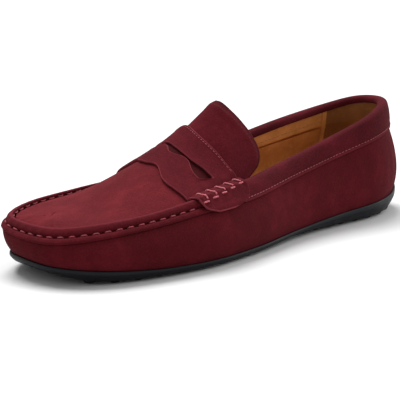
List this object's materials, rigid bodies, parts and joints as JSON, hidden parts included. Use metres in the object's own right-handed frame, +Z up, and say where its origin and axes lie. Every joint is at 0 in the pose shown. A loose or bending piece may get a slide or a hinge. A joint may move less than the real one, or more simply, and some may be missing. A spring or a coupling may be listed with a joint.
{
  "type": "penny loafer",
  "caption": "Left suede penny loafer in the driving style: moccasin apron, slotted strap with whip-stitched ends, leather-lined, on a pebbled rubber sole.",
  "frame": {"origin": "middle of the shoe's box on the ground under the tread", "axes": "-X towards the toe, +X towards the heel, -Y towards the lateral (outer) side, +Z up"},
  "size_m": [0.2833, 0.1019, 0.085],
  "materials": {
    "suede": "matt suede, short nap",
    "thread": "waxed polyester sewing thread",
    "tan_leather": "smooth lining leather, satin",
    "rubber": "matt moulded rubber",
    "board": "fibreboard",
    "foam": "open-cell foam"
  },
  "bodies": {
    "shoe": {"outsole": "rubber", "insole_board": "board", "footbed_foam": "foam", "sock_lining": "tan_leather", "side_wall": "suede", "apron_plug": "suede", "penny_strap": "suede", "collar_binding": "suede", "collar_foam": "foam", "backstay": "suede", "heel_counter": "board", "toe_puff": "board", "vamp_lining": "tan_leather", "wall_lining": "tan_leather", "quarter_lining_lateral": "tan_leather", "quarter_lining_medial": "tan_leather", "heel_lining": "tan_leather", "apron_stitching": "thread", "whip_stitching_lateral": "thread", "whip_stitching_medial": "thread", "collar_stitching": "thread", "strap_stitching": "thread", "backstay_stitching": "thread", "lining_stitching": "thread"},
    "tongue": {"tongue": "suede", "tongue_lining": "tan_leather", "tongue_stitching": "thread"}
  },
  "joints": [
    {"name": "tongue_lift", "type": "hinge", "parent": "shoe", "child": "tongue", "pos_m": [-0.0234, 0, 0.07], "axis": [0, -1, 0], "range_deg": [0, 12], "stiffness_Nm_per_rad": 0.03}
  ]
}
